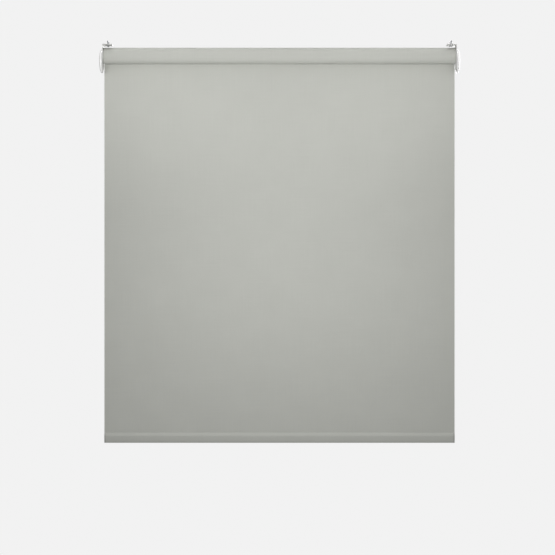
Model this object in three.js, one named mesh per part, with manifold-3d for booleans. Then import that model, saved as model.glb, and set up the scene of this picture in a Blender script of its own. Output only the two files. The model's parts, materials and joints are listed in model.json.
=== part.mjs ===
// A cordless roller blind that hangs in a window recess, in millimetres.
// X runs along the roller, Y points from the room to the window, and Z points up.
// The origin is on the underside of the recess, midway between the brackets and over the roller's axis.
// The two ends are drawn at +X, and the left end's group is mirrored.

import * as THREE from 'three';
import { mergeVertices } from 'three/addons/utils/BufferGeometryUtils.js';
import Module from 'manifold-3d';

const wasm = await Module();
wasm.setup();

// Driving dimensions
const OVERALL_WIDTH = 900; // over both bracket covers
const FABRIC_WIDTH = 879;
const DROP = 997; // from the recess to the bottom of the hem
const AXIS_DROP = 28; // from the recess to the roller's axis
const ROLL_RADIUS = 20; // with the fabric that stays wound on
const TUBE_RADIUS = 19;
const TUBE_WALL = 1.2;
const FABRIC = 0.5;
const GAP = 0.3; // between pieces that touch

// Brackets
const STEEL = 1.6;
const BEND = 2.5; // outer radius of the bend
const BRACKET_DEPTH = 44;
const FLANGE_WIDTH = 24;
const PLATE_CLEARANCE = 0.8; // from the fabric's edge to the plate
const BEARING_HOLE = 9;
const SLOT_WIDTH = 4.8;
const SLOT_LENGTH = 9.5;
const SCREW_SPACING = 23;

// Bracket covers
const COVER_RADIUS = 28.75;
const COVER_DROP = 42; // from the recess to the cover's centre
const COVER_RIM = 2.2;
const COVER_WALL = 2;
const PEG_SPREAD = 12;
const PEG_DROP = 10; // below the cover's centre
const PEG_RADIUS = 1.8;

// Roller ends
const PLUG_RADIUS = TUBE_RADIUS - TUBE_WALL - 0.4;
const PLUG_FLANGE = 1.5;
const KEY_ANGLE = THREE.MathUtils.degToRad(146.6);
const KEY_DEPTH = 1.6; // of the groove that holds the fabric's edge
const KEY_WIDTH = 6;

// Spring unit
const SHAFT_RADIUS = 4.75;
const SHAFT_START = 216;
const CLIP_GROOVE = 223;
const TANG_WIDTH = 10;
const TANG_HEIGHT = 5;
const TANG_LENGTH = 6.2;
const SPRING_TURNS = 22;
const SPRING_RADIUS = 11.5;
const SPRING_WIRE = 0.9;
const SPIGOT_RADIUS = 9.6;
const SPIGOT_LENGTH = 12;
const DRIVE_PLUG_END = 231;
const FIXED_PLUG_START = 404;

// Ratchet
const WHEEL_RADIUS = 9;
const WHEEL_START = 423.2;
const WHEEL_WIDTH = 7.7;
const NOTCHES = 4;
const PAWL_PIVOT = 12.2; // from the roller's axis
const PAWL_LENGTH = 8;
const PAWL_HALF_WIDTH = 1.2;
const PAWL_HUB = 2.4;
const PAWL_PIN = 1.2;
const PAWL_LIFTED = THREE.MathUtils.degToRad(59); // arm's angle from the line to the axis
const PAWL_ENGAGED = THREE.MathUtils.degToRad(35);

// Idle pin
const PIN_RADIUS = 5;
const PIN_TIP = 3;
const PIN_REACH = 446; // the tip's end
const PIN_TAIL = 420;
const PIN_SHOULDER = 435;
const PIN_CAP = 405;

// Hem
const HEM_HEIGHT = 26;
const HEM_DEPTH = 10.6;
const HEM_FULLEST = 0.35; // height where the hem is deepest, from -1 at its bottom to 1 at its top
const BAR_WALL = 1.3;
const CAP_FLANGE = 2.5;
const CAP_TONGUE = 12;

// Places worked out from the above
const FABRIC_END = FABRIC_WIDTH / 2;
const PLATE_INNER = FABRIC_END + PLATE_CLEARANCE;
const PLATE_OUTER = PLATE_INNER + STEEL;
const COVER_BACK = PLATE_OUTER + GAP;
const COVER_APEX = OVERALL_WIDTH / 2;
const PLUG_FACE = FABRIC_END - 0.5;
const TUBE_END = PLUG_FACE - PLUG_FLANGE - GAP;
const BORE = SHAFT_RADIUS + GAP;
const SHEET_Y = ROLL_RADIUS + GAP + FABRIC / 2;
const HEM_TOP = HEM_HEIGHT - DROP;

const X = new THREE.Vector3(1, 0, 0);
const Y = new THREE.Vector3(0, 1, 0);
const Z = new THREE.Vector3(0, 0, 1);

// Materials
const material = (color, roughness, metalness) =>
  new THREE.MeshStandardMaterial({ color, roughness, metalness });

const clothGrey = material(0xbfc0b9, 0.9, 0);
const whiteSteel = material(0xe9e9e7, 0.45, 0.2);
const whiteGloss = material(0xf4f4f2, 0.2, 0);
const whiteAcetal = material(0xe6e6e2, 0.5, 0);
const greyPlastic = material(0xa9aaa4, 0.55, 0);
const darkPlastic = material(0x55565a, 0.6, 0);
const aluminium = material(0xc9cacc, 0.35, 1);
const steel = material(0x9b9c9e, 0.4, 1);
const springSteel = material(0x6d6e70, 0.35, 1);
const zinc = material(0xc4c6c8, 0.3, 1);

// A closed geometry as a solid that can be joined and cut
function solid(geometry) {
  const bare = geometry.clone();
  bare.deleteAttribute('normal');
  bare.deleteAttribute('uv');
  const merged = mergeVertices(bare, 1e-4);
  return new wasm.Manifold(
    new wasm.Mesh({
      numProp: 3,
      vertProperties: merged.attributes.position.array,
      triVerts: new Uint32Array(merged.index.array),
    }),
  );
}

function geometryOf(manifold) {
  const { vertProperties, triVerts } = manifold.getMesh();
  const geometry = new THREE.BufferGeometry();
  geometry.setAttribute('position', new THREE.BufferAttribute(vertProperties, 3));
  geometry.setIndex(new THREE.BufferAttribute(triVerts, 1));
  geometry.computeVertexNormals();
  return geometry;
}

// A profile of [x, radius] points turned about the X axis
function turned(profile, segments = 48) {
  const points = profile.map(([x, radius]) => new THREE.Vector2(radius, x));
  return new THREE.LatheGeometry(points, segments).rotateZ(-Math.PI / 2);
}

function ring(start, end, inner, outer, segments) {
  return turned([[start, inner], [start, outer], [end, outer], [end, inner], [start, inner]], segments);
}

function rod(start, end, radius, segments = 24) {
  return turned([[start, 0], [start, radius], [end, radius], [end, 0]], segments);
}

// A shape drawn on the u and v axes, extruded along u x v
function extruded(shape, depth, u, v) {
  const geometry = new THREE.ExtrudeGeometry(shape, { depth, bevelEnabled: false, curveSegments: 8 });
  const along = new THREE.Vector3().crossVectors(u, v);
  return geometry.applyMatrix4(new THREE.Matrix4().makeBasis(u, v, along));
}

function alongX(shape, start, end) {
  return extruded(shape, end - start, Y, Z).translate(start, 0, 0);
}

function box(size, centre) {
  return new THREE.BoxGeometry(...size).translate(...centre);
}

// A slab in the roller's key groove: its height is measured from the axis
function keySlab(start, end, low, high, width) {
  const slab = box([end - start, high - low, width], [(start + end) / 2, (low + high) / 2, 0]);
  return slab.rotateX(KEY_ANGLE);
}

function polar(radius, angle) {
  return new THREE.Vector2(radius * Math.cos(angle), radius * Math.sin(angle));
}

class Helix extends THREE.Curve {
  constructor(start, end, radius, turns) {
    super();
    Object.assign(this, { start, end, radius, turns });
  }

  getPoint(t, target = new THREE.Vector3()) {
    const angle = 2 * Math.PI * this.turns * t;
    const x = THREE.MathUtils.lerp(this.start, this.end, t);
    return target.set(x, this.radius * Math.cos(angle), this.radius * Math.sin(angle));
  }
}

function coil(start, end, radius, turns, wire, sides) {
  const stepsPerTurn = 10;
  const corners = Array.from({ length: sides }, (_, i) => polar(wire, (2 * Math.PI * i) / sides));
  const extrudePath = new Helix(start, end, radius, turns);
  const steps = Math.round(turns * stepsPerTurn);
  return new THREE.ExtrudeGeometry(new THREE.Shape(corners), { steps, extrudePath });
}

// Brackets and what is fixed to them

function angleSection() {
  const section = new THREE.Shape();
  section.moveTo(PLATE_OUTER - FLANGE_WIDTH, 0);
  section.lineTo(PLATE_OUTER - BEND, 0);
  section.absarc(PLATE_OUTER - BEND, -BEND, BEND, Math.PI / 2, 0, true);
  section.lineTo(PLATE_OUTER, -2 * COVER_DROP);
  section.lineTo(PLATE_INNER, -2 * COVER_DROP);
  section.absarc(PLATE_OUTER - BEND, -BEND, BEND - STEEL, 0, Math.PI / 2, false);
  section.lineTo(PLATE_OUTER - FLANGE_WIDTH, -STEEL);
  return section;
}

function plateOutline() {
  const half = BRACKET_DEPTH / 2;
  const outline = new THREE.Shape();
  outline.moveTo(-half, 1);
  outline.lineTo(-half, -COVER_DROP);
  outline.absarc(0, -COVER_DROP, half, Math.PI, 2 * Math.PI, false);
  outline.lineTo(half, 1);
  return outline;
}

function slotOutline(x, y) {
  const reach = (SLOT_LENGTH - SLOT_WIDTH) / 2;
  const slot = new THREE.Shape();
  slot.absarc(x, y - reach, SLOT_WIDTH / 2, Math.PI, 2 * Math.PI, false);
  slot.absarc(x, y + reach, SLOT_WIDTH / 2, 0, Math.PI, false);
  return slot;
}

const SCREW_X = PLATE_OUTER - FLANGE_WIDTH / 2 - 1.5;

function bracket() {
  const angle = extruded(angleSection(), BRACKET_DEPTH, X, Z).translate(0, BRACKET_DEPTH / 2, 0);
  const outline = alongX(plateOutline(), PLATE_OUTER - FLANGE_WIDTH - 1, PLATE_OUTER + 1);
  let plate = solid(angle).intersect(solid(outline));
  for (const y of [-SCREW_SPACING / 2, SCREW_SPACING / 2]) {
    const slot = extruded(slotOutline(SCREW_X, y), 4 * STEEL, X, Y).translate(0, 0, -2 * STEEL);
    plate = plate.subtract(solid(slot));
  }
  const through = [PLATE_INNER - 1, PLATE_OUTER + 1];
  plate = plate.subtract(solid(rod(...through, BEARING_HOLE, 40).translate(0, 0, -AXIS_DROP)));
  for (const y of [-PEG_SPREAD, PEG_SPREAD]) {
    const hole = rod(...through, PEG_RADIUS + GAP, 16);
    plate = plate.subtract(solid(hole.translate(0, y, -COVER_DROP - PEG_DROP)));
  }
  return geometryOf(plate);
}

// How far the cover's dome stands from its rim, at a share of its radius
function domeRise(share, height) {
  return height * Math.sqrt(1 - share ** 2.6);
}

function cover() {
  const rimTop = COVER_BACK + COVER_RIM;
  const innerRadius = COVER_RADIUS - COVER_WALL;
  const innerRim = rimTop - 0.4;
  const shares = [0, 0.4, 0.7, 0.88, 0.97];
  const inside = shares.map((s) => [innerRim + domeRise(s, COVER_APEX - COVER_WALL - innerRim), s * innerRadius]);
  const outside = shares.map((s) => [rimTop + domeRise(s, COVER_APEX - rimTop), s * COVER_RADIUS]);
  const profile = [
    ...inside,
    [innerRim, innerRadius],
    [COVER_BACK, innerRadius],
    [COVER_BACK, COVER_RADIUS],
    [rimTop, COVER_RADIUS],
    ...outside.reverse(),
  ];
  let shell = solid(turned(profile, 36));
  for (const y of [-PEG_SPREAD, PEG_SPREAD]) {
    const peg = rod(PLATE_INNER + 0.1, COVER_APEX - 0.75 * COVER_WALL, PEG_RADIUS, 12);
    shell = shell.add(solid(peg.translate(0, y, -PEG_DROP)));
  }
  return geometryOf(shell).translate(0, 0, -COVER_DROP);
}

const SOCKET_FLANGE = 12;
const SOCKET_INNER = PLATE_INNER - 0.4;

function socket(hole) {
  const barrel = BEARING_HOLE - GAP;
  const profile = [
    [SOCKET_INNER, 0],
    [SOCKET_INNER, barrel],
    [COVER_BACK, barrel],
    [COVER_BACK, SOCKET_FLANGE],
    [COVER_BACK + STEEL, SOCKET_FLANGE],
    [COVER_BACK + STEEL, 0],
  ];
  return geometryOf(solid(turned(profile, 36)).subtract(solid(hole)));
}

function screw() {
  const head = 3.8;
  const headTop = -STEEL - GAP; // the face that bears on the flange
  const headBottom = headTop - 2.4;
  const tip = headTop + 12;
  const [core, crest, pitch] = [1.45, 2, 1.8];
  const profile = [[headBottom, 0], [headBottom, 2.2], [headBottom + 0.9, 3.3], [headTop, head], [headTop, core]];
  for (let x = headTop + pitch; x < tip - 2 * pitch; x += pitch) {
    profile.push([x, core], [x + pitch / 2, crest]);
  }
  profile.push([tip - pitch, core], [tip, 0]);
  let body = solid(turned(profile, 12));
  const recess = [
    [1.6, 3.6, 0.9],
    [1.6, 0.9, 3.6],
  ];
  for (const size of recess) {
    body = body.subtract(solid(box(size, [headBottom, 0, 0])));
  }
  return geometryOf(body).rotateY(-Math.PI / 2);
}

// Spring unit: the shaft, wheel and fixed plug stay still, and the rest turns with the tube

function springShaft() {
  const groove = [CLIP_GROOVE, CLIP_GROOVE + 1.8];
  const tangStart = PLUG_FACE + GAP;
  const profile = [
    [SHAFT_START, 0],
    [SHAFT_START, SHAFT_RADIUS - 0.6],
    [SHAFT_START + 0.6, SHAFT_RADIUS],
    [groove[0], SHAFT_RADIUS],
    [groove[0], SHAFT_RADIUS - 1],
    [groove[1], SHAFT_RADIUS - 1],
    [groove[1], SHAFT_RADIUS],
    [tangStart + 0.3, SHAFT_RADIUS],
    [tangStart + 0.3, 0],
  ];
  const tang = box([TANG_LENGTH, TANG_WIDTH, TANG_HEIGHT], [tangStart + TANG_LENGTH / 2, 0, 0]);
  return geometryOf(solid(turned(profile, 24)).add(solid(tang)));
}

function retainingClip() {
  const mouth = Math.PI / 6;
  const [inner, outer] = [SHAFT_RADIUS - 1 + GAP, SHAFT_RADIUS + 2.3];
  const clip = new THREE.Shape();
  clip.absarc(0, 0, outer, mouth, 2 * Math.PI - mouth, false);
  clip.absarc(0, 0, inner, 2 * Math.PI - mouth, mouth, true);
  return alongX(clip, CLIP_GROOVE + GAP, CLIP_GROOVE + 1.5);
}

function fixedSpringPlug() {
  const flange = 14;
  return turned([
    [FIXED_PLUG_START - SPIGOT_LENGTH, BORE],
    [FIXED_PLUG_START - SPIGOT_LENGTH, SPIGOT_RADIUS],
    [FIXED_PLUG_START, SPIGOT_RADIUS],
    [FIXED_PLUG_START, flange],
    [FIXED_PLUG_START + 3.5, flange],
    [FIXED_PLUG_START + 3.5, BORE],
    [FIXED_PLUG_START - SPIGOT_LENGTH, BORE],
  ], 36);
}

const KEY_INNER = TUBE_RADIUS - KEY_DEPTH - TUBE_WALL; // of the tube's wall under its groove

// Cuts the channel in a plug that the tube's groove slides into
function keyed(plug, start, end) {
  const channel = keySlab(start, end, KEY_INNER - GAP, TUBE_RADIUS + 1, KEY_WIDTH + 2 * TUBE_WALL + 2 * GAP);
  return plug.subtract(solid(channel));
}

function drivingSpringPlug() {
  const start = DRIVE_PLUG_END - 6;
  const plug = turned([
    [start, BORE],
    [start, PLUG_RADIUS],
    [DRIVE_PLUG_END, PLUG_RADIUS],
    [DRIVE_PLUG_END, SPIGOT_RADIUS],
    [DRIVE_PLUG_END + SPIGOT_LENGTH, SPIGOT_RADIUS],
    [DRIVE_PLUG_END + SPIGOT_LENGTH, BORE],
    [start, BORE],
  ], 36);
  return geometryOf(keyed(solid(plug), start - 1, DRIVE_PLUG_END + 1));
}

function torsionSpring() {
  const start = DRIVE_PLUG_END + GAP + SPRING_WIRE;
  const end = FIXED_PLUG_START - GAP - SPRING_WIRE;
  return coil(start, end, SPRING_RADIUS, SPRING_TURNS, SPRING_WIRE, 4);
}

const CROWN_CAVITY = 15;
const CROWN_FLOOR = WHEEL_START + WHEEL_WIDTH + 0.6;

function endCrown() {
  const mouth = 412;
  const crown = turned([
    [mouth, CROWN_CAVITY],
    [mouth, PLUG_RADIUS],
    [PLUG_FACE - PLUG_FLANGE, PLUG_RADIUS],
    [PLUG_FACE - PLUG_FLANGE, TUBE_RADIUS - 0.1],
    [PLUG_FACE, TUBE_RADIUS - 0.1],
    [PLUG_FACE, BORE],
    [CROWN_FLOOR, BORE],
    [CROWN_FLOOR, CROWN_CAVITY],
    [mouth, CROWN_CAVITY],
  ], 36);
  let cup = keyed(solid(crown), mouth - 1, TUBE_END);
  for (const z of [-PAWL_PIVOT, PAWL_PIVOT]) {
    const hole = rod(CROWN_FLOOR - 1, PLUG_FACE - 1.2, PAWL_PIN + GAP, 16);
    cup = cup.subtract(solid(hole.translate(0, 0, z)));
  }
  return geometryOf(cup);
}

// The tooth that a lowered pawl leaves room for: past its tip, and along its inner side
function notch() {
  const pivot = new THREE.Vector2(0, PAWL_PIVOT);
  const along = new THREE.Vector2(-Math.sin(PAWL_ENGAGED), -Math.cos(PAWL_ENGAGED));
  const outward = new THREE.Vector2(along.y, -along.x);
  const at = (length, side) => pivot.clone().addScaledVector(along, length).addScaledVector(outward, side);
  const [tip, inner] = [PAWL_LENGTH + 0.4, -PAWL_HALF_WIDTH - 0.4];
  return new THREE.Shape([at(tip, inner), at(tip, 8), at(-4, 8), at(-4, inner)]);
}

function ratchetWheel() {
  const end = WHEEL_START + WHEEL_WIDTH;
  let wheel = solid(ring(WHEEL_START, end, BORE, WHEEL_RADIUS, 36));
  for (let i = 0; i < NOTCHES; i += 1) {
    const cut = alongX(notch(), WHEEL_START - 1, end + 1);
    wheel = wheel.subtract(solid(cut.rotateX((2 * Math.PI * i) / NOTCHES)));
  }
  return geometryOf(wheel);
}

// A pawl lifted clear of the wheel, about its own pivot
function pawl() {
  const arm = new THREE.Shape();
  arm.absarc(0, 0, PAWL_HUB, 0.6, 2 * Math.PI - 0.6, false);
  arm.lineTo(PAWL_LENGTH - 0.8, -PAWL_HALF_WIDTH);
  arm.lineTo(PAWL_LENGTH, -PAWL_HALF_WIDTH + 0.6);
  arm.lineTo(PAWL_LENGTH, PAWL_HALF_WIDTH);
  const hole = new THREE.Path().absarc(0, 0, PAWL_PIN + GAP, 0, 2 * Math.PI, false);
  arm.holes.push(hole);
  const lifted = -Math.PI / 2 - PAWL_LIFTED;
  return alongX(arm, WHEEL_START + 0.1, WHEEL_START + WHEEL_WIDTH).rotateX(lifted);
}

function pawlPin() {
  const head = WHEEL_START - 1.7;
  const end = PLUG_FACE - 1.8;
  return turned([
    [head, 0],
    [head, 2.2],
    [head + 1.4, 2.2],
    [head + 1.4, PAWL_PIN],
    [end, PAWL_PIN],
    [end, 0],
  ], 16);
}

// Tube and what is wound on it

function rollerTube() {
  const wall = ring(-TUBE_END, TUBE_END, TUBE_RADIUS - TUBE_WALL, TUBE_RADIUS, 64);
  const under = keySlab(-TUBE_END, TUBE_END, KEY_INNER, TUBE_RADIUS - 0.5, KEY_WIDTH + 2 * TUBE_WALL);
  const groove = keySlab(-TUBE_END - 1, TUBE_END + 1, TUBE_RADIUS - KEY_DEPTH, TUBE_RADIUS + 1, KEY_WIDTH);
  return geometryOf(solid(wall).add(solid(under)).subtract(solid(groove)));
}

function fabricSpline() {
  const low = TUBE_RADIUS - KEY_DEPTH + GAP;
  return keySlab(-TUBE_END, TUBE_END, low, TUBE_RADIUS - 0.2, KEY_WIDTH - 2 * GAP);
}

function fabricRoll() {
  return ring(-FABRIC_END, FABRIC_END, TUBE_RADIUS + GAP, ROLL_RADIUS, 64);
}

// Idle end: a plug with a sprung pin

function endPlug() {
  const [shell, boss, bore] = [14.6, 8.5, PIN_RADIUS + GAP];
  const floor = PLUG_FACE - PLUG_FLANGE - 1.5;
  const profile = turned([
    [PIN_CAP, shell],
    [PIN_CAP, PLUG_RADIUS],
    [PLUG_FACE - PLUG_FLANGE, PLUG_RADIUS],
    [PLUG_FACE - PLUG_FLANGE, TUBE_RADIUS - 0.1],
    [PLUG_FACE, TUBE_RADIUS - 0.1],
    [PLUG_FACE, PIN_TIP + GAP],
    [PIN_SHOULDER, PIN_TIP + GAP],
    [PIN_SHOULDER, bore],
    [PIN_CAP, bore],
    [PIN_CAP, boss],
    [floor, boss],
    [floor, shell],
    [PIN_CAP, shell],
  ], 36);
  let plug = solid(profile);
  for (let i = 0; i < 3; i += 1) {
    const rib = box([floor - PIN_CAP - 2, 1.8, 2 * shell + 1], [(floor + PIN_CAP) / 2 + 2, 0, 0]);
    plug = plug.add(solid(rib.rotateX((Math.PI * i) / 3)));
  }
  plug = plug.subtract(solid(rod(PIN_CAP - 1, PIN_SHOULDER, bore, 36)));
  plug = plug.subtract(solid(rod(PIN_SHOULDER - 1, PLUG_FACE + 1, PIN_TIP + GAP, 36)));
  return geometryOf(keyed(plug, PIN_CAP - 1, TUBE_END));
}

function idlePin() {
  return turned([
    [PIN_TAIL, 0],
    [PIN_TAIL, PIN_RADIUS],
    [PIN_SHOULDER - GAP, PIN_RADIUS],
    [PIN_SHOULDER - GAP, PIN_TIP],
    [PIN_REACH - 1.2, PIN_TIP],
    [PIN_REACH, PIN_TIP - 1.2],
    [PIN_REACH, 0],
  ], 24);
}

const RETAINER_END = PIN_CAP + 3.3;

function pinRetainer() {
  return turned([
    [PIN_CAP - 2.3, 0],
    [PIN_CAP - 2.3, 8.5],
    [PIN_CAP - GAP, 8.5],
    [PIN_CAP - GAP, PIN_RADIUS],
    [RETAINER_END, PIN_RADIUS],
    [RETAINER_END, 0],
  ], 24);
}

function pinSpring() {
  const wire = 0.45;
  return coil(RETAINER_END + GAP + wire, PIN_TAIL - GAP - wire, PIN_RADIUS - 0.8, 4.5, wire, 5);
}

// Cloth and hem

function fabricSheet() {
  const [top, bottom] = [-AXIS_DROP, HEM_TOP + GAP];
  return box([FABRIC_WIDTH, FABRIC, top - bottom], [0, SHEET_Y, (top + bottom) / 2]);
}

// The hem's depth as a share of its greatest: it slopes in above and curves in below
function hemFullness(height) {
  if (height > HEM_FULLEST) {
    return 1 - 0.9 * ((height - HEM_FULLEST) / (1 - HEM_FULLEST)) ** 1.4;
  }
  return (1 - ((HEM_FULLEST - height) / (1 + HEM_FULLEST)) ** 1.3) ** 0.45;
}

// The hem's section, pulled in by an inset. Its narrow top is flat.
function hemSection(inset, Kind = THREE.Shape) {
  const steps = 16;
  const [halfDepth, halfHeight] = [HEM_DEPTH / 2 - inset, HEM_HEIGHT / 2 - inset];
  const front = [];
  for (let i = 0; i < steps; i += 1) {
    const height = Math.cos((Math.PI * i) / steps);
    front.push(new THREE.Vector2(-halfDepth * hemFullness(height), halfHeight * height));
  }
  const back = front.map(({ x, y }) => new THREE.Vector2(-x, y)).reverse();
  return new Kind([...front, new THREE.Vector2(0, -halfHeight), ...back]);
}

function hemTube(outerInset, innerInset, end) {
  const section = hemSection(outerInset);
  section.holes.push(hemSection(innerInset, THREE.Path));
  return alongX(section, -end, end);
}

const POCKET_END = FABRIC_END - CAP_FLANGE - GAP;
const BAR_INSET = FABRIC + 0.4;

function hemCap() {
  const flange = alongX(hemSection(0), FABRIC_END - CAP_FLANGE, FABRIC_END);
  const tongueSection = hemSection(BAR_INSET + BAR_WALL + 0.4);
  const tongue = alongX(tongueSection, FABRIC_END - CAP_FLANGE - CAP_TONGUE, FABRIC_END - 1);
  return geometryOf(solid(flange).add(solid(tongue)));
}

// Assembly

function add(parent, name, geometry, finish, position = [0, 0, 0]) {
  const mesh = new THREE.Mesh(geometry, finish);
  mesh.name = name;
  mesh.position.set(...position);
  parent.add(mesh);
  return mesh;
}

function group(parent, ...position) {
  const made = new THREE.Group();
  made.position.set(...position);
  parent.add(made);
  return made;
}

const blind = new THREE.Group();
const rightEnd = group(blind, 0, 0, 0);
const leftEnd = group(blind, 0, 0, 0);
leftEnd.scale.x = -1;
const onAxis = [0, 0, -AXIS_DROP];

const sockets = {
  right: socket(box([20, TANG_WIDTH + 2 * GAP, TANG_HEIGHT + 2 * GAP], [PLATE_OUTER, 0, 0])),
  left: socket(rod(PLATE_INNER - 5, COVER_APEX, PIN_TIP + GAP)),
};

for (const [side, end] of Object.entries({ right: rightEnd, left: leftEnd })) {
  add(end, `bracket_${side}`, bracket(), whiteSteel);
  add(end, `cover_${side}`, cover(), whiteGloss);
  add(end, `socket_${side}`, sockets[side], whiteAcetal, onAxis);
  add(end, `screw_${side}_front`, screw(), zinc, [SCREW_X, -SCREW_SPACING / 2, 0]);
  add(end, `screw_${side}_back`, screw(), zinc, [SCREW_X, SCREW_SPACING / 2, 0]);
}

const springUnit = group(rightEnd, ...onAxis);
add(springUnit, 'spring_shaft', springShaft(), steel);
add(springUnit, 'retaining_clip', retainingClip(), springSteel);
add(springUnit, 'spring_plug_fixed', fixedSpringPlug(), darkPlastic);
add(springUnit, 'spring_plug_drive', drivingSpringPlug(), darkPlastic);
add(springUnit, 'torsion_spring', torsionSpring(), springSteel);
add(springUnit, 'ratchet_wheel', ratchetWheel(), steel);
add(springUnit, 'end_crown_right', endCrown(), whiteAcetal);

for (const [letter, turn] of [['a', 0], ['b', Math.PI]]) {
  const seat = group(springUnit, 0, 0, 0);
  seat.rotation.x = turn;
  add(seat, `pawl_${letter}`, pawl(), steel, [0, 0, PAWL_PIVOT]);
  add(seat, `pawl_pin_${letter}`, pawlPin(), steel, [0, 0, PAWL_PIVOT]);
}

const roller = group(blind, ...onAxis);
add(roller, 'roller_tube', rollerTube(), aluminium);
add(roller, 'fabric_spline', fabricSpline(), darkPlastic);
add(roller, 'fabric_roll', fabricRoll(), clothGrey);

const idleEnd = group(leftEnd, ...onAxis);
add(idleEnd, 'end_plug_left', endPlug(), whiteAcetal);
add(idleEnd, 'idle_pin', idlePin(), steel);
add(idleEnd, 'idle_pin_spring', pinSpring(), springSteel);
add(idleEnd, 'pin_retainer', pinRetainer(), darkPlastic);

add(blind, 'fabric_sheet', fabricSheet(), clothGrey);

const hem = group(blind, 0, SHEET_Y, HEM_TOP - HEM_HEIGHT / 2);
add(hem, 'hem_pocket', hemTube(0, FABRIC, POCKET_END), clothGrey);
add(hem, 'bottom_bar', hemTube(BAR_INSET, BAR_INSET + BAR_WALL, POCKET_END), aluminium);
add(hem, 'hem_cap_right', hemCap(), greyPlastic);
const hemCapLeft = add(hem, 'hem_cap_left', hemCap(), greyPlastic);
hemCapLeft.scale.x = -1;

export default blind;
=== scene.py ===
import json
import math

import bmesh
import bpy
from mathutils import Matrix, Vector, noise


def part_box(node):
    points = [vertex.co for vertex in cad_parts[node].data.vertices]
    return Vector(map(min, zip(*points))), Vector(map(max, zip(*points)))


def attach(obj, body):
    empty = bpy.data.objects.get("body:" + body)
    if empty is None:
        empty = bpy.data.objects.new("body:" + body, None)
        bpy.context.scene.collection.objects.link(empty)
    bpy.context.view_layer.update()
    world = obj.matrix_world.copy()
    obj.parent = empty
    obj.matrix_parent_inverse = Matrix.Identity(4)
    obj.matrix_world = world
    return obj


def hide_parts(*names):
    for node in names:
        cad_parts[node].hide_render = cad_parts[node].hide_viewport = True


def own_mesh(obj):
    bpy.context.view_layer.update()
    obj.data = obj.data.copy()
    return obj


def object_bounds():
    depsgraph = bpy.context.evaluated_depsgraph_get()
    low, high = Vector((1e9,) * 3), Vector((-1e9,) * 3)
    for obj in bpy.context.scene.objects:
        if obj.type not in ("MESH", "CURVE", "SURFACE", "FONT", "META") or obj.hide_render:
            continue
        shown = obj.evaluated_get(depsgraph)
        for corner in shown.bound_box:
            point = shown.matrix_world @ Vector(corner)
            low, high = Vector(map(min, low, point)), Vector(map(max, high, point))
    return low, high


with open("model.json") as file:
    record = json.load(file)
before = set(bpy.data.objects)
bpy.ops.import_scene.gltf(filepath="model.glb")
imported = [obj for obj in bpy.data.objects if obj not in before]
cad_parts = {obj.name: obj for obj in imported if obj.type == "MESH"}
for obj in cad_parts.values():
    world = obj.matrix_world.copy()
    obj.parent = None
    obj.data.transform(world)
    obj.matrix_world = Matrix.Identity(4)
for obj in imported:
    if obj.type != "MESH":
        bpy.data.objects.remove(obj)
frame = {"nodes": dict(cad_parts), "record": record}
cad_low, cad_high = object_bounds()

MM = 0.001

# Camera: level, in front of the blind
CAMERA_DISTANCE = 5.0
VIEW_WIDTH = 1.3875  # how much of the blind's plane the picture takes in
SENSOR = 36.0
CAMERA_X = -0.005
CAMERA_Z = -0.582

# Studio
FLOOR_RADIUS = 3.6
FLOOR_DROP = 1.0  # below the hem
FLOOR_GLOW = 0.55  # how much of the floor is shown by glow instead of by light
ROOM_LIGHT = 0.43
ROOM_SEEN = 0.887

# Cloth
CLOTH_COLOUR = (0.475, 0.482, 0.447)
THREAD = 0.45 * MM
CLOTH = 0.4 * MM
SEAM_TUCK = 0.8 * MM  # how far the sheet reaches down into the hem's seam
HALF_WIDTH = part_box("fabric_sheet")[1].x
SHEET_WAVE = 0.5 * MM
EDGE_CURL = 0.9 * MM
EDGE_BAND = 50 * MM  # how far in from its sides the sheet curls


def node_middle(name):
    low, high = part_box(name)
    return (low + high) / 2


AXIS = node_middle("fabric_roll")
TUBE_RADIUS = (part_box("roller_tube")[1] - AXIS).z

# The roll. Its angles run from the back, where the sheet leaves it, over the top to the front
KEY_ANGLE = math.radians(146.6)  # the spline, and the cloth's first edge
FULL_TURNS = 2
TUBE_GAP = 0.05 * MM
STEP_SPAN = math.radians(1.8)  # over which each turn climbs on to the first edge
BULGE = 0.55 * MM  # how far the cloth stands out over the spline
BULGE_SPAN = math.radians(6)
ROLL_MID = TUBE_RADIUS + FULL_TURNS * CLOTH + CLOTH / 2

# The hem
HEM_LOW, HEM_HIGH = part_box("hem_pocket")
HEM_MIDDLE = (HEM_LOW + HEM_HIGH) / 2
HEM_FULLEST = 0.35  # height where the hem is deepest, from -1 to 1
SEAM_ANGLE = math.radians(6)  # from the hem's top to each edge of its cloth

# Covers
COVER_GAP = 0.3 * MM
COVER_WALL = 2 * MM
COVER_RIM = 2.2 * MM
COVER_EDGE = 0.35 * MM


def add_camera():
    data = bpy.data.cameras.new("camera")
    data.sensor_width = SENSOR
    data.lens = SENSOR * CAMERA_DISTANCE / VIEW_WIDTH
    data.clip_end = 100
    camera = bpy.data.objects.new("camera", data)
    camera.location = (CAMERA_X, -CAMERA_DISTANCE, CAMERA_Z)
    camera.rotation_euler = (math.pi / 2, 0, 0)
    bpy.context.scene.collection.objects.link(camera)
    bpy.context.scene.camera = camera


add_camera()


# ---------------------------------------------------------------- materials


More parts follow.
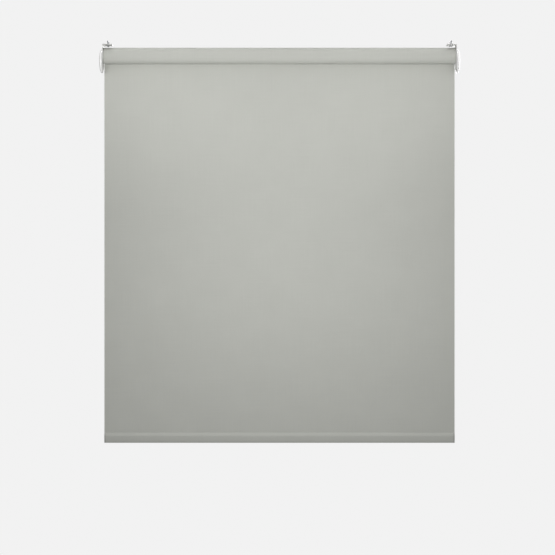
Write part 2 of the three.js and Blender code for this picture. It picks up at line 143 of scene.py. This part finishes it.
class Recipe:
    """A node material, built by calls that return output sockets."""

    def __init__(self, name, **shader):
        self.material = bpy.data.materials.new(name)
        self.material.use_nodes = True
        self.tree = self.material.node_tree
        self.tree.nodes.clear()
        self.shader = self.node("ShaderNodeBsdfPrincipled")
        self.set(self.shader, shader)
        output = self.node("ShaderNodeOutputMaterial")
        self.tree.links.new(self.shader.outputs[0], output.inputs["Surface"])

    def node(self, kind, **properties):
        made = self.tree.nodes.new(kind)
        for key, value in properties.items():
            setattr(made, key, value)
        return made

    def set(self, node, values):
        for key, value in values.items():
            socket = node.inputs[key] if isinstance(key, int) else node.inputs[key.replace("_", " ")]
            if isinstance(value, bpy.types.NodeSocket):
                self.tree.links.new(value, socket)
            else:
                socket.default_value = value
        return node

    def math(self, operation, *values):
        made = self.node("ShaderNodeMath", operation=operation)
        return self.set(made, dict(enumerate(values))).outputs[0]

    def vector_math(self, operation, *values):
        made = self.node("ShaderNodeVectorMath", operation=operation)
        return self.set(made, dict(enumerate(values))).outputs[0]

    def place(self, uv=False):
        """A point on the surface in metres: along and across the cloth, or in the object's frame."""
        if uv:
            return self.node("ShaderNodeUVMap", uv_map="cloth").outputs[0]
        return self.node("ShaderNodeTexCoord").outputs["Object"]

    def noise(self, point, scale, detail=3.0, roughness=0.55):
        """Noise from 0 to 1; scale is cycles a metre, one number or one for each axis."""
        scales = scale if isinstance(scale, tuple) else (scale,) * 3
        stretched = self.vector_math("MULTIPLY", point, scales)
        made = self.node("ShaderNodeTexNoise")
        self.set(made, {"Vector": stretched, "Scale": 1.0, "Detail": detail, "Roughness": roughness})
        return made.outputs["Fac"]

    def span(self, value, low, high):
        """A 0 to 1 value spread from low to high."""
        made = self.node("ShaderNodeMapRange")
        return self.set(made, {"Value": value, "To Min": low, "To Max": high}).outputs[0]

    def scaled(self, colour, factor):
        """A colour made lighter or darker by a factor socket."""
        made = self.node("ShaderNodeVectorMath", operation="SCALE")
        made.inputs[0].default_value = colour
        self.tree.links.new(factor, made.inputs["Scale"])
        return made.outputs[0]

    def mixed(self, factor, first, second):
        made = self.node("ShaderNodeMixShader")
        return self.set(made, {0: factor, 1: first, 2: second}).outputs[0]

    def bump(self, height, distance, strength=1.0):
        made = self.node("ShaderNodeBump")
        self.set(made, {"Height": height, "Distance": distance, "Strength": strength})
        self.tree.links.new(made.outputs[0], self.shader.inputs["Normal"])


def cloth_material():
    """A close plain weave: threads along and across, each a little uneven."""
    r = Recipe("cloth", Roughness=0.88, Specular_IOR_Level=0.25, Sheen_Weight=0.12, Sheen_Roughness=0.5)
    at = r.place(uv=True)
    split = r.set(r.node("ShaderNodeSeparateXYZ"), {"Vector": at})
    waves = [r.math("SINE", r.math("MULTIPLY", split.outputs[i], math.pi / THREAD)) for i in (0, 1)]
    crossing = r.math("MULTIPLY", *waves)
    lift = r.math("MULTIPLY_ADD", r.math("ABSOLUTE", crossing), 0.6, r.math("MULTIPLY", crossing, 0.4))
    warp = r.noise(at, (1 / THREAD, 9, 0), 2)
    weft = r.noise(at, (9, 1 / THREAD, 0), 2)
    uneven = r.noise(at, (14, 14, 0), 4)
    threads = r.math("ADD", r.span(warp, -0.05, 0.05), r.span(weft, -0.05, 0.05))
    shade = r.math("ADD", threads, r.span(uneven, 0.96, 1.03))
    shade = r.math("MULTIPLY_ADD", lift, 0.06, shade)
    r.set(r.shader, {"Base Color": r.scaled(CLOTH_COLOUR, shade)})
    r.bump(r.math("ADD", lift, threads), 0.08 * MM, 0.6)
    return r.material


def coated_steel():
    """White powder coat: satin, with a fine orange peel."""
    r = Recipe("powder_coat", Specular_IOR_Level=0.5)
    at = r.place()
    patches = r.noise(at, 60, 4)
    r.set(r.shader, {
        "Base Color": r.scaled((0.74, 0.74, 0.725), r.span(patches, 0.96, 1.02)),
        "Roughness": r.span(patches, 0.32, 0.46),
    })
    r.bump(r.noise(at, 900, 2), 0.06 * MM, 0.5)
    return r.material


def gloss_plastic():
    """White moulded plastic, polished, with faint moulding ripples and handling marks."""
    r = Recipe("gloss_white", IOR=1.5, Coat_Weight=0.25, Coat_Roughness=0.08)
    at = r.place()
    marks = r.noise(at, 160, 5, 0.65)
    r.set(r.shader, {
        "Base Color": r.scaled((0.89, 0.89, 0.88), r.span(marks, 0.98, 1.01)),
        "Roughness": r.span(marks, 0.16, 0.3),
    })
    r.bump(r.noise(at, 45, 1), 0.15 * MM, 0.15)
    return r.material


def moulded_plastic(name, colour, roughness):
    """Matt moulded plastic with a fine spark-eroded grain."""
    r = Recipe(name, Specular_IOR_Level=0.4)
    at = r.place()
    grain = r.noise(at, 2600, 2)
    cloudy = r.noise(at, 120, 3)
    r.set(r.shader, {
        "Base Color": r.scaled(colour, r.span(cloudy, 0.94, 1.05)),
        "Roughness": r.span(cloudy, roughness - 0.06, roughness + 0.08),
    })
    r.bump(grain, 0.03 * MM, 0.6)
    return r.material


def metal(name, colour, roughness, lines):
    """Bare metal with fine scratches; lines is their cycles a metre, one number or one for each axis."""
    r = Recipe(name, Metallic=1.0)
    at = r.place()
    scratches = r.noise(at, lines, 4, 0.7)
    dull = r.noise(at, 70, 3)
    worn = r.span(dull, roughness - 0.04, roughness + 0.06)
    r.set(r.shader, {
        "Base Color": r.scaled(colour, r.span(dull, 0.88, 1.05)),
        "Roughness": r.math("ADD", r.span(scratches, -0.08, 0.1), worn),
    })
    r.bump(scratches, 0.02 * MM, 0.7)
    return r.material


MATERIALS = {
    "cloth": cloth_material(),
    "bracket_steel": coated_steel(),
    "cover_plastic": gloss_plastic(),
    "acetal": moulded_plastic("acetal", (0.74, 0.74, 0.71), 0.45),
    "cap_plastic": moulded_plastic("cap_grey", (0.4, 0.405, 0.38), 0.55),
    "dark_plastic": moulded_plastic("dark_grey", (0.07, 0.07, 0.075), 0.5),
    "tube_aluminium": metal("extruded_aluminium", (0.78, 0.79, 0.8), 0.3, (8, 1400, 1400)),
    "steel": metal("turned_steel", (0.5, 0.5, 0.51), 0.28, (2600, 60, 60)),
    "spring_steel": metal("spring_wire", (0.2, 0.2, 0.215), 0.34, 1500),
    "zinc": metal("zinc_plate", (0.62, 0.63, 0.65), 0.24, (300, 300, 1900)),
}


def paint_frame():
    """Each CAD node gets the material of its slot."""
    for entry in frame["record"]["subparts"]:
        node = frame["nodes"][entry["node"]]
        node.data.materials.clear()
        node.data.materials.append(MATERIALS[entry["material_slot"]])


# ---------------------------------------------------------------- mesh helpers


def new_piece(name, mesh, slot, body, *nodes):
    """A finished object: its material, the body it moves with and the CAD nodes it stands for."""
    piece = bpy.data.objects.new(name, mesh)
    bpy.context.scene.collection.objects.link(piece)
    mesh.materials.clear()
    mesh.materials.append(MATERIALS[slot])
    if nodes:
        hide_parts(*nodes)
    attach(piece, body)
    return piece


def finished(bm, name, sharp_angle):
    """The mesh of a bmesh, smooth but for edges sharper than an angle in degrees."""
    mesh = bpy.data.meshes.new(name)
    bm.to_mesh(mesh)
    bm.free()
    mesh.shade_smooth()
    mesh.set_sharp_from_angle(angle=math.radians(sharp_angle))
    return mesh


def skin_rings(bm, rings):
    """Faces between neighbouring rings of vertices; a ring may be one point."""
    for a, b in zip(rings, rings[1:]):
        sides = max(len(a), len(b))
        for k in range(sides):
            n = (k + 1) % sides
            corners = (a[k % len(a)], a[n % len(a)], b[n % len(b)], b[k % len(b)])
            corners = tuple(dict.fromkeys(corners))
            if len(corners) > 2:
                bm.faces.new(corners)


def cloth_strip(name, section, xs, shift=None):
    """A closed sheet of cloth: a line of (y, z) points in its middle, run along X, with its thickness.

    Its UV map holds metres along X and along the line. shift(x, i) moves point i off the line at x, along
    its normal.
    """
    count = len(section)
    normals, lengths = [], [0.0]
    for i, point in enumerate(section):
        before, after = section[max(i - 1, 0)], section[min(i + 1, count - 1)]
        along = (after - before).normalized()
        normals.append(Vector((along.y, -along.x)))
        if i:
            lengths.append(lengths[-1] + (point - section[i - 1]).length)
    bm = bmesh.new()
    uv = bm.loops.layers.uv.new("cloth")
    place = {}
    layers = []
    for side in (1, -1):
        rows = []
        for x in xs:
            row = []
            for i, point in enumerate(section):
                off = side * CLOTH / 2 + (shift(x, i) if shift else 0.0)
                at = point + normals[i] * off
                vertex = bm.verts.new((x, at.x, at.y))
                place[vertex] = (x, lengths[i])
                row.append(vertex)
            rows.append(row)
        layers.append(rows)
    front, back = layers
    last_x, last_s = len(xs) - 1, count - 1
    for j in range(last_x):
        for i in range(last_s):
            bm.faces.new((front[j][i], front[j][i + 1], front[j + 1][i + 1], front[j + 1][i]))
            bm.faces.new((back[j][i], back[j + 1][i], back[j + 1][i + 1], back[j][i + 1]))
    for j in range(last_x):
        bm.faces.new((front[j][0], front[j + 1][0], back[j + 1][0], back[j][0]))
        bm.faces.new((front[j + 1][last_s], front[j][last_s], back[j][last_s], back[j + 1][last_s]))
    for i in range(last_s):
        bm.faces.new((front[0][i + 1], front[0][i], back[0][i], back[0][i + 1]))
        bm.faces.new((front[last_x][i], front[last_x][i + 1], back[last_x][i + 1], back[last_x][i]))
    bmesh.ops.recalc_face_normals(bm, faces=bm.faces)
    for face in bm.faces:
        for loop in face.loops:
            loop[uv].uv = place[loop.vert]
    return finished(bm, name, 50), lengths[-1]


def spaced(low, high, count):
    """Evenly spaced numbers, both ends included."""
    return [low + (high - low) * i / (count - 1) for i in range(count)]


def turned_mesh(name, profile, segments, axis_point):
    """A profile of (x, radius) points turned about the X axis through a point."""
    bm = bmesh.new()
    rings = []
    for x, radius in profile:
        if radius < 1e-7:
            rings.append([bm.verts.new((x, axis_point[1], axis_point[2]))])
            continue
        ring = []
        for k in range(segments):
            angle = 2 * math.pi * k / segments
            y = axis_point[1] + radius * math.cos(angle)
            z = axis_point[2] + radius * math.sin(angle)
            ring.append(bm.verts.new((x, y, z)))
        rings.append(ring)
    skin_rings(bm, rings)
    bmesh.ops.recalc_face_normals(bm, faces=bm.faces)
    return finished(bm, name, 35)


def soften(node, name, slot, body, width, segments=2, angle=30):
    """A CAD node with its edges rounded, where they are sharper than an angle in degrees."""
    bm = bmesh.new()
    bm.from_mesh(frame["nodes"][node].data)
    bmesh.ops.remove_doubles(bm, verts=bm.verts, dist=1e-6)
    bmesh.ops.dissolve_limit(bm, angle_limit=math.radians(1), verts=bm.verts, edges=bm.edges)
    sharp = [e for e in bm.edges if len(e.link_faces) == 2 and e.calc_face_angle(0) > math.radians(angle)]
    bmesh.ops.bevel(
        bm, geom=sharp, offset=width, segments=segments, profile=0.5, affect="EDGES", clamp_overlap=True
    )
    new_piece(name, finished(bm, name, 30), slot, body, node)


# ---------------------------------------------------------------- cloth


def make_sheet():
    """The cloth that hangs, taut over the hem, with the slight hollows and edge curl of real cloth."""
    top, bottom = AXIS.z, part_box("fabric_sheet")[0].z - SEAM_TUCK
    y_top = AXIS.y + ROLL_MID
    rows = 95
    section = []
    for i in range(rows):
        t = i / (rows - 1)
        section.append(Vector((y_top + (HEM_MIDDLE.y - y_top) * t, top + (bottom - top) * t)))

    def shift(x, i):
        t = i / (rows - 1)
        held = math.sin(math.pi * t) ** 0.6 if 0 < t < 1 else 0.0
        edge = max(0.0, (abs(x) - HALF_WIDTH + EDGE_BAND) / EDGE_BAND)
        wave = noise.noise(Vector((x * 3.1, t * 1.7, 4.2)))
        return -held * (SHEET_WAVE * wave + EDGE_CURL * edge**2)

    mesh, length = cloth_strip("cloth_sheet", section, spaced(-HALF_WIDTH, HALF_WIDTH, 89), shift)
    sheet = new_piece("cloth_sheet", mesh, "cloth", "root", "fabric_sheet")
    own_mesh(sheet)


def roll_angles(total):
    """Angles round the spiral, closer together where its layers step."""
    angles = {total * i / 300 for i in range(301)}
    for turn in range(FULL_TURNS + 1):
        middle = KEY_ANGLE + 2 * math.pi * turn
        angles |= {middle + math.radians(0.6 * i) for i in range(-14, 15)}
    return sorted(a for a in angles if 0 <= a <= total)


def make_roll():
    """The cloth that stays wound: a spiral that bulges and steps down where the cloth's first edge lies."""
    total = KEY_ANGLE + FULL_TURNS * 2 * math.pi
    section = []
    for angle in roll_angles(total):
        left = (total - angle) / (2 * math.pi)
        below = math.floor(left + 1e-9)
        past = (below + 1 - left) * 2 * math.pi
        if past < STEP_SPAN and below < FULL_TURNS:
            share = past / STEP_SPAN
            below += 1 - share * share * (3 - 2 * share)
        near = min(past, 2 * math.pi - past)
        raised = BULGE * math.exp(-((near / BULGE_SPAN) ** 2)) if 0 < angle < total - math.pi else 0.0
        radius = TUBE_RADIUS + TUBE_GAP + CLOTH * (below + 0.5) + raised
        section.append(Vector((AXIS.y + radius * math.cos(angle), AXIS.z + radius * math.sin(angle))))
    mesh, length = cloth_strip("cloth_roll", section, spaced(-HALF_WIDTH, HALF_WIDTH, 25))
    roll = new_piece("cloth_roll", mesh, "cloth", "roller", "fabric_roll")


def hem_fullness(height):
    """The hem's depth, from 0 to 1, at a height from -1 to 1: it slopes in above and curves in below."""
    if height > HEM_FULLEST:
        return 1 - 0.9 * ((height - HEM_FULLEST) / (1 - HEM_FULLEST)) ** 1.4
    return (1 - ((HEM_FULLEST - height) / (1 + HEM_FULLEST)) ** 1.3) ** 0.45


def hem_point(angle, inset):
    """A point of the hem's section, at an angle from its top."""
    half_depth = (HEM_HIGH.y - HEM_LOW.y) / 2 - inset
    half_height = (HEM_HIGH.z - HEM_LOW.z) / 2 - inset
    height = math.cos(angle)
    across = math.copysign(hem_fullness(height), math.sin(angle))
    return Vector((HEM_MIDDLE.y - half_depth * across, HEM_MIDDLE.z + half_height * height))


def make_pocket():
    """The cloth wrapped round the bar: both its edges meet at the seam, on either side of the sheet."""
    angles = spaced(SEAM_ANGLE, 2 * math.pi - SEAM_ANGLE, 81)
    section = [hem_point(angle, CLOTH / 2) for angle in angles]
    seam = HEM_HIGH.z
    first, last = section[0], section[-1]
    section = [Vector((first.x, seam)), *section, Vector((last.x, seam))]
    end = HEM_HIGH.x
    mesh, length = cloth_strip("hem_cloth", section, spaced(-end, end, 41))
    pocket = new_piece("hem_cloth", mesh, "cloth", "hem", "hem_pocket")


# ---------------------------------------------------------------- springs, covers, brackets and caps


def coil_mesh(name, start, end, radius, turns, wire, point):
    """Round wire wound about a line along X through a point, with closed ends."""
    steps, sides = int(turns * 28), 10
    bm = bmesh.new()
    rings = []
    for i in range(steps + 1):
        share = i / steps
        angle = 2 * math.pi * turns * share
        out = Vector((0, math.cos(angle), math.sin(angle)))
        middle = Vector((start + (end - start) * share, point.y, point.z)) + out * radius
        rings.append([
            bm.verts.new(middle + wire * (out * math.cos(a) + Vector((1, 0, 0)) * math.sin(a)))
            for a in (2 * math.pi * k / sides for k in range(sides))
        ])
    skin_rings(bm, rings)
    bm.faces.new(rings[0])
    bm.faces.new(rings[-1])
    bmesh.ops.recalc_face_normals(bm, faces=bm.faces)
    return finished(bm, name, 50)


def fit_spring(name, node, wire, turns, body):
    """A coil of wire, given its wire's radius, that fills the box of a CAD spring."""
    low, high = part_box(node)
    radius = (high - low).y / 2 - wire
    mesh = coil_mesh(name, low.x + wire, high.x - wire, radius, turns, wire, AXIS)
    return new_piece(name, mesh, "spring_steel", body, node)


def make_springs():
    """The spring that winds the roller, and the idle pin's, which shortens as the pin goes in."""
    fit_spring("winding_spring", "torsion_spring", 0.9 * MM, 22, "root")
    spring = fit_spring("pin_spring", "idle_pin_spring", 0.45 * MM, 4.5, "roller")
    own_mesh(spring)


def dome(outer, base, rise, count):
    """Points of (x, radius) from a dome's top to its rim."""
    shares = [math.sin(math.pi / 2 * i / count) for i in range(count + 1)]
    return [(base + rise * math.sqrt(max(0.0, 1 - s**2.6)), s * outer) for s in shares]


def make_cover(side, sign):
    """A domed cover with a rounded rim and a shallow step round its foot."""
    low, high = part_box(f"cover_{side}")
    radius = (high.z - low.z) / 2
    inner = radius - COVER_WALL
    back = max(abs(corner.x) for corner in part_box(f"bracket_{side}")) + COVER_GAP
    rim = back + COVER_RIM
    inner_rim = rim - 0.4 * MM
    apex = max(abs(low.x), abs(high.x))
    profile = [
        *dome(inner, inner_rim, apex - COVER_WALL - inner_rim, 10),
        (back + COVER_EDGE, inner),
        (back, inner + COVER_EDGE),
        (back, radius - COVER_EDGE),
        (back + 0.3 * COVER_EDGE, radius - 0.3 * COVER_EDGE),
        (back + COVER_EDGE, radius),
        *reversed(dome(radius, rim, apex - rim, 20)),
    ]
    profile = [(sign * x, r) for x, r in profile]
    mesh = turned_mesh(f"dome_{side}", profile, 96, (low + high) / 2)
    new_piece(f"dome_{side}", mesh, "cover_plastic", "root", f"cover_{side}")


def make_ends():
    """The covers, and the brackets and hem caps with soft edges."""
    for side, sign in (("left", -1), ("right", 1)):
        make_cover(side, sign)
        soften(f"bracket_{side}", f"steel_{side}", "bracket_steel", "root", 0.25 * MM)
        soften(f"hem_cap_{side}", f"end_cap_{side}", "cap_plastic", "hem", 0.4 * MM, 3, 50)


# ---------------------------------------------------------------- stage and light


def add_stage():
    """A pale round floor that fades out towards its edge."""
    bm = bmesh.new()
    bmesh.ops.create_circle(bm, cap_ends=True, radius=FLOOR_RADIUS, segments=128)
    mesh = bpy.data.meshes.new("floor")
    bm.to_mesh(mesh)
    bm.free()
    floor = bpy.data.objects.new("floor", mesh)
    floor.location = (0, 0, cad_low.z - FLOOR_DROP)
    r = Recipe("pale_floor", Base_Color=(0.88, 0.88, 0.88, 1), Roughness=0.85)
    plain = r.shader.outputs[0]
    glow = r.set(r.node("ShaderNodeEmission"), {"Color": (0.9, 0.9, 0.9, 1)}).outputs[0]
    camera_ray = r.node("ShaderNodeLightPath").outputs["Is Camera Ray"]
    lit = r.mixed(camera_ray, plain, r.mixed(FLOOR_GLOW, plain, glow))
    reach = r.set(r.node("ShaderNodeVectorMath", operation="LENGTH"), {0: r.place()}).outputs["Value"]
    fade = r.node("ShaderNodeMapRange", interpolation_type="SMOOTHSTEP")
    r.set(fade, {"Value": reach, "From Min": 0.35 * FLOOR_RADIUS, "From Max": 0.98 * FLOOR_RADIUS})
    faded = r.mixed(fade.outputs[0], lit, r.node("ShaderNodeBsdfTransparent").outputs[0])
    r.tree.links.new(faded, r.tree.nodes["Material Output"].inputs["Surface"])
    mesh.materials.append(r.material)
    bpy.context.scene.collection.objects.link(floor)


def add_world():
    """A pale studio, which looks brighter than the soft light that it gives."""
    world = bpy.data.worlds.new("studio")
    world.use_nodes = True
    nodes, links = world.node_tree.nodes, world.node_tree.links
    nodes.clear()
    seen = nodes.new("ShaderNodeBackground")
    seen.inputs["Color"].default_value = (ROOM_SEEN, ROOM_SEEN, ROOM_SEEN, 1)
    given = nodes.new("ShaderNodeBackground")
    given.inputs["Color"].default_value = (1, 1, 1, 1)
    given.inputs["Strength"].default_value = ROOM_LIGHT
    rays = nodes.new("ShaderNodeLightPath")
    mix = nodes.new("ShaderNodeMixShader")
    output = nodes.new("ShaderNodeOutputWorld")
    links.new(rays.outputs["Is Camera Ray"], mix.inputs[0])
    links.new(given.outputs[0], mix.inputs[1])
    links.new(seen.outputs[0], mix.inputs[2])
    links.new(mix.outputs[0], output.inputs[0])
    bpy.context.scene.world = world
    bpy.context.scene.view_settings.view_transform = "Standard"


def add_spot(name, location, target, spread, power, radius):
    """A spot with a soft edge. Its spread is in degrees and its power in watts."""
    data = bpy.data.lights.new(name, "SPOT")
    data.energy = power
    data.spot_size = math.radians(spread)
    data.spot_blend = 1.0
    data.shadow_soft_size = radius
    place_light(data, location, target)


def add_area(name, location, target, size, power, spread=180):
    """A soft panel of light. Its spread is in degrees and its power in watts."""
    data = bpy.data.lights.new(name, "AREA")
    data.shape = "RECTANGLE"
    data.size, data.size_y = size
    data.energy = power
    data.spread = math.radians(spread)
    place_light(data, location, target)


def place_light(data, location, target):
    light = bpy.data.objects.new(data.name, data)
    light.location = location
    aim = Vector(target) - Vector(location)
    light.rotation_euler = aim.to_track_quat("-Z", "Y").to_euler()
    bpy.context.scene.collection.objects.link(light)


def add_lights():
    """Two pools of light in front, fills front and back, spots on both ends, and light from above."""
    middle = (0.0, 0.0, -0.5)
    add_spot("pool", (0.0, -2.4, -0.26), (0.02, 0.0, -0.31), 40, 84, 0.3)
    add_spot("low_pool", (0.0, -2.6, -0.9), (0.0, 0.0, -0.03), 30, 80, 0.3)
    add_area("front", (-0.8, -3.9, -0.3), middle, (1.8, 1.8), 5)
    add_area("back", (0.9, 3.6, 0.3), middle, (1.8, 1.8), 60)
    for side, share in ((-1, 1.0), (1, 0.7)):
        end = (side * 0.445, 0.0, -0.04)
        add_spot("end_front", (side * 1.1, -2.3, -0.1), end, 15, 52 * share, 0.2)
        add_spot("end_side", (side * 1.7, -0.9, 0.0), end, 24, 20 * share, 0.5)
    add_area("above", (0.0, -0.75, 0.35), (0.0, 0.0, -0.98), (1.3, 0.15), 0.6, 34)
    add_area("over_roll", (0.0, 0.04, 0.6), AXIS, (1.3, 0.08), 0.4, 40)


paint_frame()
make_sheet()
make_roll()
make_pocket()
make_springs()
make_ends()
add_stage()
add_world()
add_lights()
